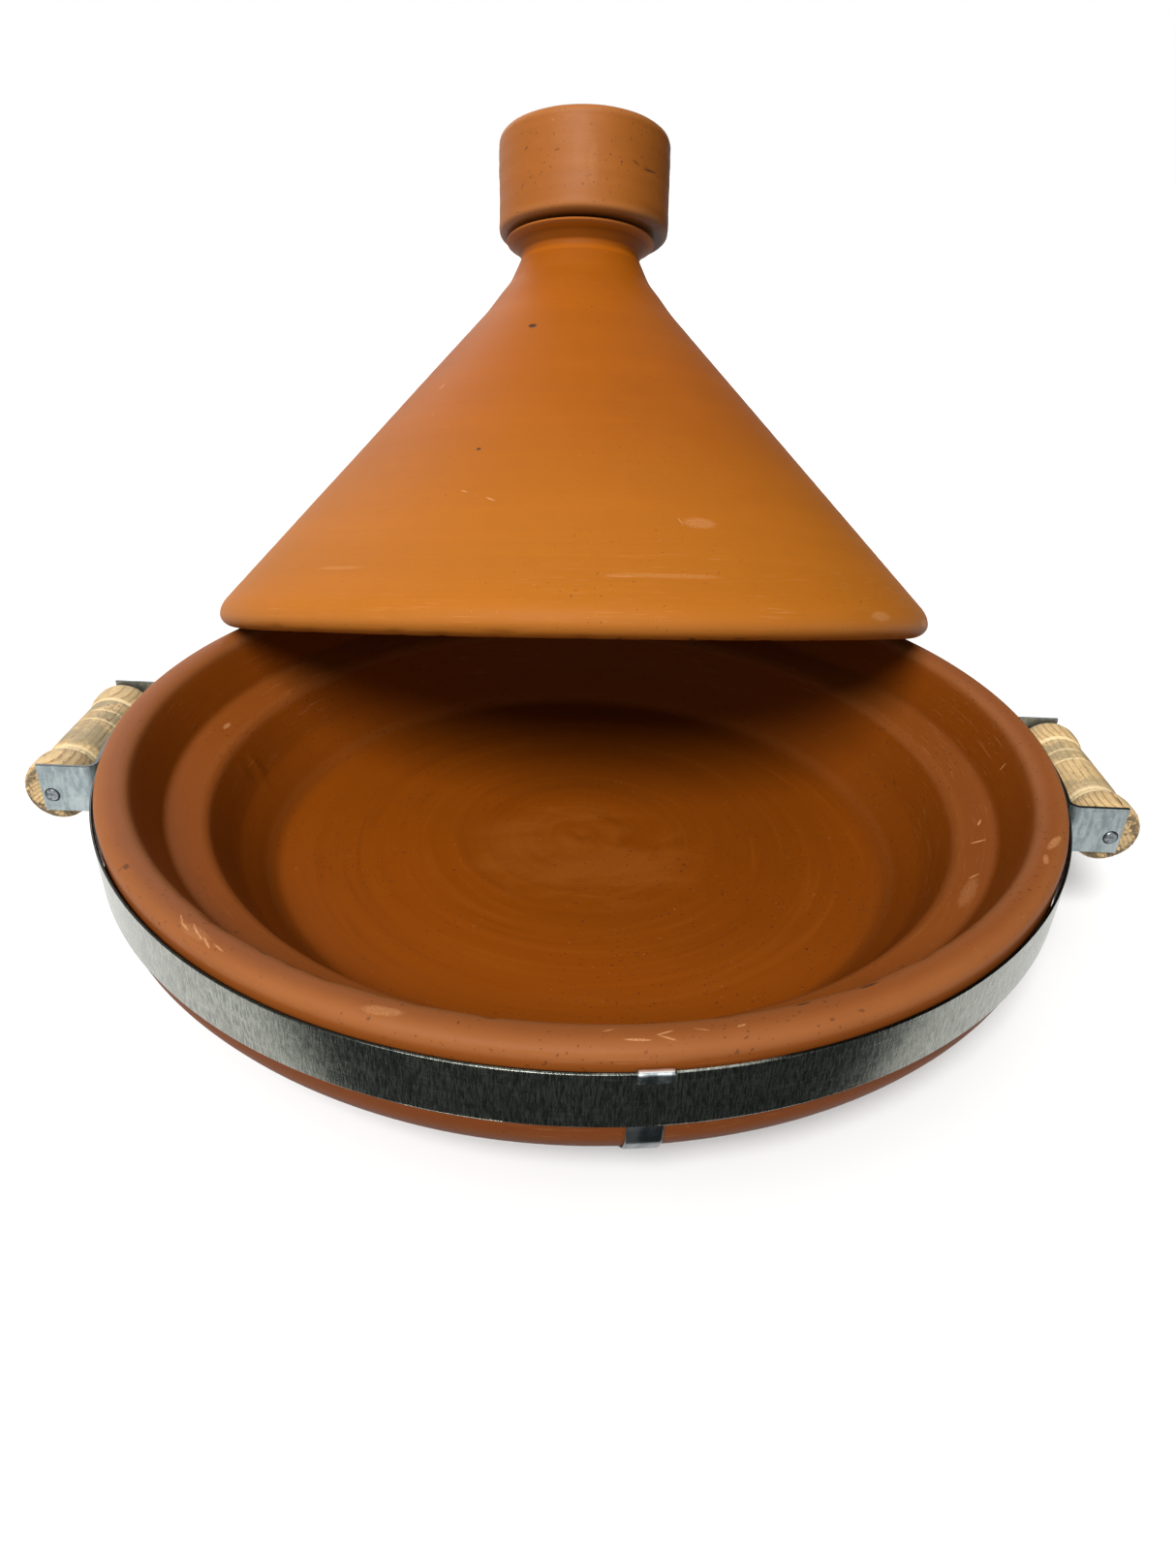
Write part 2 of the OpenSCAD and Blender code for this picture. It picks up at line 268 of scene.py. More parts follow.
# ---- the lid and its knob
LID_PLACE = (Matrix.Rotation(math.radians(LID_TURN), 4, "Z")
             @ Matrix.Translation(Vector((0, LID_BACK, LID_Z)) * MM)
             @ Matrix.Rotation(math.radians(-LID_TILT), 4, "X"))
# from the hollow's crown down to the lip, then up the outside to the top of the collar
CONE = [(0, COLLAR_Z - 10.9), (12, COLLAR_Z - 12.1), (20, COLLAR_Z - 16.9),
        (29.2, COLLAR_Z - 27.6), (35, COLLAR_Z - 35.4), (LIP_R - 15, 15), (LIP_R - 11, 5),
        (LIP_R - 9.4, 1.2), (LIP_R - 7.4, 0), (LIP_R - 4.2, 0.7), (LIP_R - 1.6, 2.3),
        (LIP_R - 0.2, 4.6), (LIP_R, 6.6), (LIP_R - 0.6, 9.4), (LIP_R - 2.4, 12.7),
        (45.5, COLLAR_Z - 35.4), (39.7, COLLAR_Z - 27.6), (33.9, COLLAR_Z - 20.4),
        (30.7, COLLAR_Z - 13.5), (28.9, COLLAR_Z - 9.6), (28.5, COLLAR_Z - 8.3),
        (28.5, COLLAR_Z - 7.1), (30, COLLAR_Z - 5.4), (31.1, COLLAR_Z - 3.8),
        (33.4, COLLAR_Z - 2.2), (35.5, COLLAR_Z - 1.1), (35.6, COLLAR_Z - 0.5), (35, COLLAR_Z),
        (0, COLLAR_Z)]
# from under the knob, round its outside and down into the cup
KNOB_BASE = COLLAR_Z + 0.02
KNOB = [(0, KNOB_BASE), (29, KNOB_BASE), (29.6, KNOB_BASE + 1.2), (KNOB_R - 2.6, KNOB_BASE + 1.4),
        (KNOB_R - 0.85, KNOB_BASE + 2.5), (KNOB_R - 0.2, KNOB_BASE + 4.4),
        (KNOB_R - 0.3, KNOB_BASE + 18), (KNOB_R, KNOB_TOP - 13), (KNOB_R - 0.15, KNOB_TOP - 2.5),
        (KNOB_R - 0.7, KNOB_TOP - 1), (KNOB_R - 1.7, KNOB_TOP - 0.2), (KNOB_R - 2.7, KNOB_TOP),
        (KNOB_R - 6.3, KNOB_TOP), (KNOB_R - 7.8, KNOB_TOP - 1), (KNOB_R - 8.2, KNOB_TOP - 4),
        (KNOB_R - 9.4, CUP_Z + 6), (KNOB_R - 12.4, CUP_Z + 1.4), (KNOB_R - 17, CUP_Z), (0, CUP_Z)]


def cone_shape(turn, r, z, along):
    x, y = r * np.cos(turn), r * np.sin(turn)
    rings = 0.022 * np.sin(z * 0.8 + np.sin(turn + 1)) * (z > 14) * (r > 30)
    lip = -0.12 * (1 + wobble(turn, 5, (3, 0.6), (7, 0.3))) * hump(z, 5, 7)
    chips = np.clip(field(np.cos(turn) * 16, np.sin(turn) * 16, z / 5, 21, 4) - 0.22, 0, 1)
    return rings + lip + 0.12 * field(x / 90, y / 90, z / 90, 8) - 0.9 * chips * hump(z, 1.5, 3)


def knob_shape(turn, r, z, along):
    lathe_lines = 0.03 * np.sin(z * 2.3) + 0.05 * np.sin(z * 0.75 + turn)
    soft = 0.14 * field(np.cos(turn) * 1.5, np.sin(turn) * 1.5, z / 20, 3)
    # a short split on the right-hand side
    split = 0.5 * hump((z - 207.6 - 3 * angle_gap(turn, -45)) / 0.45, 0, 1) * hump(
        angle_gap(turn, -45), 0, 0.16)
    return (lathe_lines + soft) * (r > 30) - 0.12 - split * (r > 35)


cone = lathe("lid_cone_turned", CONE, LID_PLACE, "lid", "lid_clay", ["lid_cone"],
             around=384, coarse=2.6, fine=0.6, corner=2.2, shape=cone_shape)
knob = lathe("lid_knob_turned", KNOB, LID_PLACE @ Matrix.Translation((KNOB_SHIFT * MM, 0, 0)),
             "lid", "lid_clay", ["lid_knob"], around=224, coarse=1.3, fine=0.35, corner=0.9,
             shape=knob_shape)

# ---- the band: a strip bent round, its lapped end at the back
STRIP = [(BAND_R - BAND_T, BAND_LOW), (BAND_R, BAND_LOW), (BAND_R, BAND_TOP),
         (BAND_R - BAND_T, BAND_TOP)]
BAND_Z = (BAND_LOW + BAND_TOP) / 2


def band_shape(turn, r, z, along):
    dents = 0.09 * field(np.cos(turn) * 5, np.sin(turn) * 5, z / 30, 31)
    roll = 0.1 * ((z - BAND_Z) / 10) ** 2
    bent = wobble(turn, 9, (5, 0.05), (9, 0.04), (14, 0.03))
    return np.where(r > BAND_R - BAND_T / 2, 1, -1) * (dents + bent - roll - 0.1)


band = lathe("band_strip", STRIP, Matrix.Identity(4), "dish", "band_steel", ["band"],
             around=720, coarse=2.0, fine=0.12, corner=0.22, closed=True, shape=band_shape)


def sweep(name, points, across, body, slot, replaces, shift=None, thick=STRAP_T):
    """A flat strip along a path of place and outward direction, with a closed rounded section."""
    loops = []
    section = [(w, 1) for w in across] + [(w, -1) for w in reversed(across)]
    soft = 0.35                            # width of the rounded edges
    for i, (centre, out, side) in enumerate(points):
        row = []
        for w, face in section:
            near_edge = max(0, abs(w) - (across[-1] - soft)) / soft
            depth = thick / 2 * (1 - 0.45 * near_edge ** 2) * face
            move, slide = shift(i, w, face) if shift else (0, 0)
            row.append(centre + side * (w + slide) + out * (depth + move))
        loops.append(row)
    wide = len(section)
    verts = np.array([v for row in loops for v in row])
    faces = []
    for i in range(len(loops) - 1):
        for j in range(wide):
            k = (j + 1) % wide
            faces.append([i * wide + j, i * wide + k, (i + 1) * wide + k, (i + 1) * wide + j])
    faces.append(list(range(wide))[::-1])
    faces.append(list(range((len(loops) - 1) * wide, len(loops) * wide)))
    along = np.repeat(np.cumsum([0] + [float(np.linalg.norm(b[0] - a[0]))
                                       for a, b in zip(points, points[1:])]), wide) * MM
    return finish_mesh(name, verts, faces, Matrix.Identity(4), body, slot, replaces,
                       along=along, edge=np.zeros(len(verts)))


LAP_R, LAP_HALF = BAND_R + BAND_T / 2, 5.0


def lap_points():
    out = []
    for a in np.linspace(90 - LAP_HALF, 90 + LAP_HALF, 40):
        t = math.radians(a)
        ray = np.array([math.cos(t), math.sin(t), 0])
        out.append((ray * LAP_R + np.array([0, 0, BAND_Z]), ray,
                    np.array([0, 0, 1.0])))
    return out


lap = sweep("band_lap", lap_points(), np.linspace(-9.9, 9.9, 13), "dish", "band_steel", ["band"],
            thick=0.94)

# ---- the strap: flat under the base, up both sides, hooked over the band
STRAP_RUN = [(0, 0.35), (138.1, 0.35), (142.1, 1.13), (156.2, 7.05), (172.3, 17.1), (184.4, 29.5),
             (187.9, 35.9), (188.5, 41), (188.5, 63.9), (188.9, 64.5), (190.1, 64.5),
             (190.5, 64.1), (190.5, 61.2)]


def strap_points():
    path = rounded(STRAP_RUN, 0.5)
    steps = np.linalg.norm(np.diff(path, axis=0), axis=1)
    path = path[np.concatenate([[True], steps > 1e-6])]
    far = np.concatenate([[0], np.cumsum(np.linalg.norm(np.diff(path, axis=0), axis=1))])
    at = np.concatenate([np.linspace(0, 130, 40), np.linspace(132, far[-1] - 12, 70),
                         np.linspace(far[-1] - 11.5, far[-1], 60)])
    u, z = np.interp(at, far, path[:, 0]), np.interp(at, far, path[:, 1])
    du, dz = np.gradient(u), np.gradient(z)
    size = np.hypot(du, dz)
    left = far[-1] - at                     # length left before the hook's tip
    both = []
    for sign in (-1, 1):
        order = range(len(at) - 1, 0, -1) if sign < 0 else range(len(at))
        both += [(sign * u[i], z[i], sign * dz[i] / size[i], -du[i] / size[i], left[i], sign)
                 for i in order]
    line = math.radians(STRAP_TURN - 90)
    run = np.array([math.cos(line), math.sin(line), 0])
    side = np.array([-math.sin(line), math.cos(line), 0])
    return ([(run * a + np.array([0, 0, b]), run * c + np.array([0, 0, d]), -side)
             for a, b, c, d, _, _ in both], [(e, f) for *_, e, f in both])


strap_path, strap_left = strap_points()


def strap_shift(i, w, face):
    """The hook is slightly crumpled and sits a little to one side of the strap below it."""
    left, end = strap_left[i]
    hook = 1 if left < 6 else max(0, 1 - (left - 6) / 14)
    tab = max(0, 1 - left / 3.4)
    crease = 0.26 * noise.noise((w * 0.45, left * 0.8, end * 3.0))
    lift = 0.14 * tab * math.sin(w * 1.1 + end) + tab * crease
    return (lift if left < 3.4 else 0), 1.6 * hook * -end


strap = sweep("strap_folded", strap_path, np.linspace(-STRAP_W / 2, STRAP_W / 2, 17), "dish", "band_steel",
              ["strap"], shift=strap_shift)

# ---- the two turned pine grips
GRIP = [(2.58, -GRIP_HALF), (9.6, -GRIP_HALF), (11.2, -36.1), (12.4, -34.8), (BEAD_R, -32.5),
        (BEAD_R, -26.1), (12.4, -22.9), (11.6, -21.7), (11, -21.3), (11, -18.9), (10.5, -18.6),
        (10.5, -18.2), (11, -17.9), (11.2, -15.7), (WAIST_R, -15.2), (WAIST_R, 3.4), (11.2, 4),
        (WAIST_R, 4.6), (WAIST_R, 11.4), (11.2, 12), (WAIST_R, 12.6), (11.7, 21.2), (11, 21.9),
        (11.9, 22.7), (12.7, 25.1), (BEAD_R, 27.5), (BEAD_R, 32.5), (12.4, 34.8), (11.2, 36.1),
        (9.6, GRIP_HALF), (2.58, GRIP_HALF)]
CRACK_TURN, CRACK_FROM, CRACK_TO = 62.0, -36.4, -27.5


def grip_shape(seed):
    def shape(turn, r, z, along):
        outer = r > 5
        fibre = 0.10 * field(np.cos(turn) * 9, np.sin(turn) * 9, z / 40, seed, 3)
        flats = wobble(turn, seed, (2, 0.10), (3, 0.06), (5, 0.04))
        out = (fibre + flats - 0.16) * outer
        bend = 2.2 * np.sin((z + 36) / 5.0) / np.maximum(r, 1)
        crack = hump(angle_gap(turn, CRACK_TURN + seed * 40) + bend * 0.08, 0, 0.07)
        crack = crack * (z > CRACK_FROM) * np.clip((CRACK_TO - z) / 5, 0, 1) * outer
        return out - 0.9 * crack
    return shape


def on_rod(sign):
    """Where a piece turned about the left (-1) or right (1) rod lies."""
    return (Matrix.Translation(Vector((sign * ROD_X, HANDLE_Y, ROD_Z)) * MM)
            @ Matrix.Rotation(math.radians(-90), 4, "X"))


SIDES = (("left", -1), ("right", 1))
grips = {}
for side, sign in SIDES:
    grips[side] = lathe(f"{side}_grip_turned", GRIP, on_rod(sign), f"{side}_grip", "grip_wood",
                        [f"{side}_grip"], around=176, coarse=0.9, fine=0.25, corner=0.5,
                        closed=True, shape=grip_shape(1 + sign))


# ---- the two steel rods, cut square with a light burr and a dimple at each end
END = [(0, 0.3), (0.9, 0.15), (1.9, 0.02), (2.3, 0.05), (ROD_R, 0.35)]
ROD = ([(r, short - ROD_HALF) for r, short in END]
       + [(r, ROD_HALF - short) for r, short in reversed(END)])
rods = [lathe(f"{side}_rod_turned", ROD, on_rod(sign), "dish", "rod_steel", [f"{side}_rod"],
              around=48, coarse=2.0, fine=0.2, corner=0.12)
        for side, sign in SIDES]


# ---------------------------------------------------------------- materials
class Paint:
    """Builds one node material. Each method returns an output socket."""

    def __init__(self, name, own=True):
        self.own = own                     # a turned or bent piece, not a CAD node
        self.material = bpy.data.materials.new(name)
        self.material.use_nodes = True
        self.tree = self.material.node_tree
        self.shader = self.tree.nodes["Principled BSDF"]

    def put(self, socket, value):
        if isinstance(value, bpy.types.NodeSocket):
            self.tree.links.new(value, socket)
        else:
            socket.default_value = value

    def add(self, kind, inputs, out=0, **settings):
        node = self.tree.nodes.new("ShaderNode" + kind)
        for key, value in settings.items():
            setattr(node, key, value)
        for key, value in inputs.items():
            self.put(node.inputs[key], value)
        return node.outputs[out]

    def math(self, operation, a, b=0.0):
        return self.add("Math", {0: a, 1: b}, operation=operation)

    def times(self, a, b):
        return self.math("MULTIPLY", a, b)

    def plus(self, a, b):
        return self.math("ADD", a, b)

    def value(self, name):
        return self.add("Attribute", {}, out=2, attribute_name=name)

    def place(self):
        if self.own:
            return self.add("Attribute", {}, out=1, attribute_name="local")
        return self.add("TexCoord", {}, out=3)

    def split(self, vector):
        node = self.tree.nodes.new("ShaderNodeSeparateXYZ")
        self.put(node.inputs[0], vector)
        return node.outputs[0], node.outputs[1], node.outputs[2]

    def join(self, x, y, z):
        return self.add("CombineXYZ", {0: x, 1: y, 2: z})

    def noise(self, vector, scale, detail=3.0, rough=0.55, warp=0.0):
        return self.add("TexNoise", {"Vector": vector, "Scale": scale, "Detail": detail,
                                     "Roughness": rough, "Distortion": warp})

    def offset(self, vector, amount):
        return self.add("VectorMath", {0: vector, 1: (amount, amount, amount)}, operation="ADD")

    def stretch(self, vector, scale):
        return self.add("VectorMath", {0: vector, 1: scale}, operation="MULTIPLY")

    def fade(self, value, low, high, to_low=0.0, to_high=1.0):
        return self.add("MapRange", {"Value": value, "From Min": low, "From Max": high,
                                     "To Min": to_low, "To Max": to_high},
                        interpolation_type="SMOOTHSTEP")

    def window(self, value, low, high, soft):
        """One between low and high, fading over soft at both ends."""
        return self.times(self.fade(value, low - soft, low), self.fade(value, high + soft, high))

    def mix(self, factor, a, b):
        node = self.tree.nodes.new("ShaderNodeMix")
        node.data_type = "RGBA"
        for index, value in ((0, factor), (6, a), (7, b)):
            if not isinstance(value, bpy.types.NodeSocket) and index:
                value = (*value[:3], 1.0)
            self.put(node.inputs[index], value)
        return node.outputs[2]

    def shade(self, colour, amount):
        return self.add("VectorMath", {0: colour, "Scale": amount}, operation="SCALE")

    def vary(self, *parts):
        """One, plus each centred noise times its strength."""
        total = 1.0
        for value, strength in parts:
            total = self.plus(total, self.times(self.math("SUBTRACT", value, 0.5), strength))
        return total

    def blot(self, vector, at, turn, half, ragged=0.0):
        """One inside a turned ellipsoid, in millimetres and degrees."""
        own = self.add("Mapping", {"Vector": vector, "Location": [c * MM for c in at],
                                   "Rotation": [math.radians(t) for t in turn],
                                   "Scale": [h * MM for h in half]}, vector_type="TEXTURE")
        size = self.add("VectorMath", {0: own}, out=1, operation="LENGTH")
        if ragged:
            size = self.plus(size, self.times(self.noise(vector, 900, 2), ragged))
            return self.fade(size, 1.0 + ragged * 0.5, 0.55 + ragged * 0.5)
        return self.fade(size, 1.0, 0.6)

    def bumps(self, *layers):
        """Heights in millimetres, added one on another."""
        normal = None
        for height, depth in layers:
            inputs = {"Height": height, "Distance": depth * MM, "Strength": 1.0}
            if normal is not None:
                inputs["Normal"] = normal
            normal = self.add("Bump", inputs)
        return normal

    def done(self, colour, roughness, normal=None, **constants):
        self.put(self.shader.inputs["Base Color"], colour)
        self.put(self.shader.inputs["Roughness"], roughness)
        if normal is not None:
            self.put(self.shader.inputs["Normal"], normal)
        for key, value in constants.items():
            self.shader.inputs[key.replace("_", " ")].default_value = value
        return self.material


PALE_CLAY = (0.34, 0.165, 0.070)
DARK_CLAY = (0.030, 0.012, 0.006)


def clay(name, tones, streaks_at, scuffs_and_sheen, dark_marks, edge_wear_and_highlight, zones=None, roughness=0.50,
         shine=0.06, specks=0.75):
    """Turned, burnished clay: soft throwing lines and tone patches, specks, scuffs, paler convex edges
    that are partly wear and partly painted highlight, and painted shade in the creases.
    """
    p = Paint(name)
    at = p.place()
    x, y, z = p.split(at)
    along, edge = p.value("along"), p.value("edge")
    lines = p.noise(p.join(p.times(x, 14), p.times(y, 14), p.times(along, 620)), 1.0, 4, 0.6)
    bands = p.noise(p.join(p.times(x, 4), p.times(y, 4), p.times(along, 60)), 1.0, 3, 0.5)
    cloud = p.noise(at, 11, 3, 0.5)
    mottle = p.noise(at, 120, 3, 0.6)
    grain = p.noise(at, 1500, 2, 0.6)
    colour = p.mix(p.fade(cloud, 0.32, 0.68), tones[0], tones[1])
    if zones:
        colour = zones(p, colour, x, y, z, along)
    colour = p.mix(p.times(p.fade(bands, 0.46, 0.74), 0.35), colour, p.shade(colour, 1.12))
    colour = p.shade(colour, p.vary((lines, 0.10), (bands, 0.08), (mottle, 0.08), (grain, 0.12)))
    # short pale strokes, laid along the throwing lines
    strokes = p.noise(p.join(p.times(x, 55), p.times(y, 55), p.times(along, 1900)), 1.0, 2, 0.7)
    low, high, strength = streaks_at
    zone = p.times(p.window(z, low * MM, high * MM, 5 * MM), p.fade(p.noise(at, 20, 2), 0.42, 0.60))
    colour = p.mix(p.times(p.times(p.fade(strokes, 0.60, 0.72), zone), strength), colour, PALE_CLAY)
    # paler convex edges, partly wear and partly painted highlight, and painted shade in the creases
    worn_or_lit_edge = p.times(p.fade(edge, 0.15, 0.95), p.plus(0.6, p.times(p.noise(at, 26, 4, 0.6), 0.8)))
    colour = p.mix(p.times(worn_or_lit_edge, edge_wear_and_highlight), colour, PALE_CLAY)
    colour = p.mix(p.times(p.fade(edge, -0.2, -0.9), 0.22), colour, tones[2])
    # fine dark specks, pale grit and a few smudges
    speck = p.times(p.fade(p.noise(at, 620, 1, 0.4), specks, specks + 0.04),
                    p.fade(p.noise(at, 24, 2), 0.36, 0.56))
    grit = p.times(p.fade(p.noise(at, 760, 1, 0.4), 0.78, 0.82), 0.35)
    smudge = p.times(p.fade(p.noise(at, 300, 4, 0.75), 0.60, 0.72), p.fade(p.noise(at, 10, 1), 0.6, 0.7))
    colour = p.mix(grit, colour, PALE_CLAY)
    colour = p.mix(p.plus(p.times(speck, 0.45), p.times(smudge, 0.28)), colour, DARK_CLAY)
    pits = 0.0
    torn = p.fade(p.noise(at, 1700, 2, 0.7), 0.34, 0.56, 0.35, 1.0)
    # pale marks: scuffs and streaks, and on the knob a painted sheen
    for place, turn, half, strength in scuffs_and_sheen:
        mark = p.times(p.times(p.blot(at, place, turn, half, 0.5), torn), strength)
        colour = p.mix(mark, colour, PALE_CLAY)
    for place, turn, half, strength in dark_marks:
        mark = p.times(p.blot(at, place, turn, half, 0.25), strength)
        pits = p.plus(pits, mark)
        colour = p.mix(mark, colour, DARK_CLAY)
    rough = p.plus(roughness, p.plus(p.times(lines, 0.08), p.times(mottle, 0.05)))
    sunk = p.math("SUBTRACT", p.plus(p.times(lines, 0.5), p.times(bands, 0.3)),
                  p.plus(p.times(pits, 2.2), p.times(speck, 0.8)))
    normal = p.bumps((sunk, 0.10), (grain, 0.022), (mottle, 0.03))
    return p.done(colour, rough, normal, Specular_IOR_Level=shine)


# each set: two clay tones, then a painted shade tone for the creases
LID_TONES = ((0.188, 0.0480, 0.0016), (0.172, 0.0420, 0.0012), (0.09, 0.022, 0.002))
KNOB_TONES = ((0.184, 0.0560, 0.0070), (0.170, 0.0500, 0.0060), (0.07, 0.018, 0.003))
DISH_TONES = ((0.133, 0.0350, 0.0052), (0.121, 0.0305, 0.0044), (0.06, 0.017, 0.004))
# the bowl and floor tones are painted shade and bounce under the lid
BOWL_SHADE_TONE, FLOOR_SHADE_TONE = (0.136, 0.0300, 0.0013), (0.130, 0.0280, 0.0007)
# the under tone is painted shade below the band; the ledge tone is paler
LEDGE_TONE, UNDER_SHADE_TONE = (0.144, 0.0360, 0.0042), (0.088, 0.0220, 0.0040)


def lid_tone_shade_and_highlight(p, colour, x, y, z, along):
    """The lid is yellower towards its lip; the cove is painted darker as shade and the neck's bead paler
    as a painted highlight.
    """
    colour = p.mix(p.fade(z, 120 * MM, 25 * MM), p.shade(colour, 0.96), (0.214, 0.0655, 0.0043))
    # painted shade in the cove and a painted highlight on the bead
    cove_shade = p.window(z, 179.6 * MM, 182.6 * MM, 0.9 * MM)
    bead_highlight = p.window(z, 174.8 * MM, 176.6 * MM, 0.7 * MM)
    return p.shade(colour, p.plus(1.0, p.plus(p.times(cove_shade, -0.26), p.times(bead_highlight, 0.20))))


def knob_painted_shade(p, colour, x, y, z, along):
    """Painted shade: the knob's lower corner and lower right are darker, and its right side darker than
    its front.
    """
    # painted shade at the knob's lower corner
    colour = p.shade(colour, p.fade(z, 187.4 * MM, 190.4 * MM, 0.66, 1.0))
    low_right_shade = p.times(p.fade(z, 196 * MM, 189 * MM), p.fade(x, 18 * MM, 34 * MM))
    colour = p.shade(colour, p.plus(1.0, p.times(low_right_shade, -0.30)))
    return p.shade(colour, p.fade(x, 5 * MM, 36 * MM, 1.0, 0.80))


def dish_tones_and_shade(p, colour, x, y, z, along):
    """Painted shade: the clay is darker below the band, and darker and browner inside the bowl and on its
    floor for the lid's shadow and bounced light; the ledge and the floor's middle are paler.
    """
    # painted shade below the band
    colour = p.mix(p.fade(z, 50 * MM, 40 * MM), colour, UNDER_SHADE_TONE)
    # painted shade inside the bowl, deeper on its floor
    colour = p.mix(p.fade(along, 243 * MM, 252 * MM), colour, BOWL_SHADE_TONE)
    colour = p.mix(p.window(along, 267 * MM, 279 * MM, 2 * MM), colour, LEDGE_TONE)
    colour = p.mix(p.fade(along, 316 * MM, 326 * MM), colour, FLOOR_SHADE_TONE)
    colour = p.mix(p.times(p.window(along, 315.5 * MM, 318 * MM, 1.6 * MM), 0.55), colour, LEDGE_TONE)
    # painted shade and light: the bowl's right-hand side is darker, its near floor a little lighter
    bowl = p.fade(along, 243 * MM, 252 * MM)
    side = p.fade(x, -130 * MM, 130 * MM, 0.05, -0.15)
    near = p.times(p.fade(y, -50 * MM, -105 * MM), 0.11)
    colour = p.shade(colour, p.plus(1.0, p.times(bowl, p.plus(side, near))))
    # soft rings and a paler swirl in the middle of the floor
    inside = p.fade(along, 322 * MM, 330 * MM)
    ring = p.noise(p.join(p.times(x, 9), p.times(y, 9), p.times(along, 170)), 1.0, 3, 0.55, 0.6)
    colour = p.mix(p.times(p.times(p.fade(ring, 0.52, 0.70), inside), 0.30), colour,
                   (0.160, 0.0390, 0.0025))
    colour = p.mix(p.times(p.times(p.fade(ring, 0.46, 0.32), inside), 0.30), colour,
                   (0.098, 0.0195, 0.0006))
    swirl = p.noise(p.stretch(p.join(x, y, 0.0), (17, 34, 1)), 1.0, 4, 0.6, 0.9)
    middle = p.times(p.blot(p.join(x, y, 0.0), (2, -14, 0), (0, 0, 0), (58, 46, 50)),
                     p.fade(swirl, 0.36, 0.62))
    colour = p.mix(p.times(p.times(middle, inside), 0.42), colour, (0.180, 0.0500, 0.0060))
    return colour


lid_pale = [((-39, -129, 52), (0, 40, 30), (4.6, 2.5, 0.35), 0.95),
            ((-43, -127, 54), (0, -60, 30), (2.6, 2.5, 0.3), 0.8),
            ((-49, -122, 55), (0, 35, 30), (1.7, 2, 0.4), 0.8),
            ((-63, -59, 106), (0, -35, 40), (3.2, 2, 1.0), 0.35),
            ((41, -136, 44), (0, 0, 17), (8.5, 3.5, 3.6), 0.30),
            ((33, -138, 45), (0, 70, 15), (3.8, 2.5, 0.5), 0.5),
            ((117, -125, 10), (0, 0, 45), (9, 3, 2.6), 0.35),
            ((152, -81, 7), (0, 0, 62), (12, 3.5, 2.2), 0.50),
            ((160, -62, 9), (0, 10, 70), (7, 4, 1.2), 0.55),
            ((-97, -125, 25), (0, 0, -35), (16, 4, 0.8), 0.22),
            ((26, -158, 23), (0, 0, 8), (30, 4, 1.0), 0.22)]
lid_dark = [((-23, -57, 133), (0, 10, 20), (2.6, 2.4, 1.4), 1.0),
            ((-44, -106, 73), (0, 0, 20), (1.3, 1.3, 0.9), 1.0),
            ((-28, -147, 34), (0, 0, 10), (0.6, 0.8, 0.5), 0.9),
            ((9, -166, 1), (0, -20, 3), (2.0, 2.0, 0.6), 0.9),
            ((34, -163, 1), (0, 15, 12), (4.0, 2.0, 0.6), 0.75),
            ((53, -158, 1.2), (0, 0, 18), (6.5, 2.0, 0.8), 0.75),
            ((67, -152, 1.5), (0, 20, 22), (3.0, 2.0, 0.5), 0.7),
            ((-145, -80, 4), (0, 10, -60), (1.6, 1.5, 0.6), 0.7),
            ((-138, -95, 3), (0, -20, -55), (1.0, 1.4, 0.5), 0.8)]
knob_dark = [((29, -29, 208.2), (0, -4, 45), (5.5, 2.5, 0.42), 0.85),
             ((22, -35, 209.2), (0, 22, 32), (2.6, 2.5, 0.40), 0.75),
             ((40, -14, 225), (0, 30, 70), (1.2, 1.2, 0.6), 0.8),
             ((15, -38, 208), (0, 0, 20), (0.6, 0.8, 0.5), 0.8)]
# a painted sheen down the knob's front
knob_painted_sheen = [((-2, -40.5, 212), (0, 0, -3), (6.5, 3, 16), 0.07),
             ((2, -40.5, 206), (0, 0, 4), (2.6, 3, 12), 0.07)]
RIM_TOP = 71.0


def on_rim(degrees, radius, height=RIM_TOP):
    t = math.radians(degrees)
    return (radius * math.cos(t), radius * math.sin(t), height)


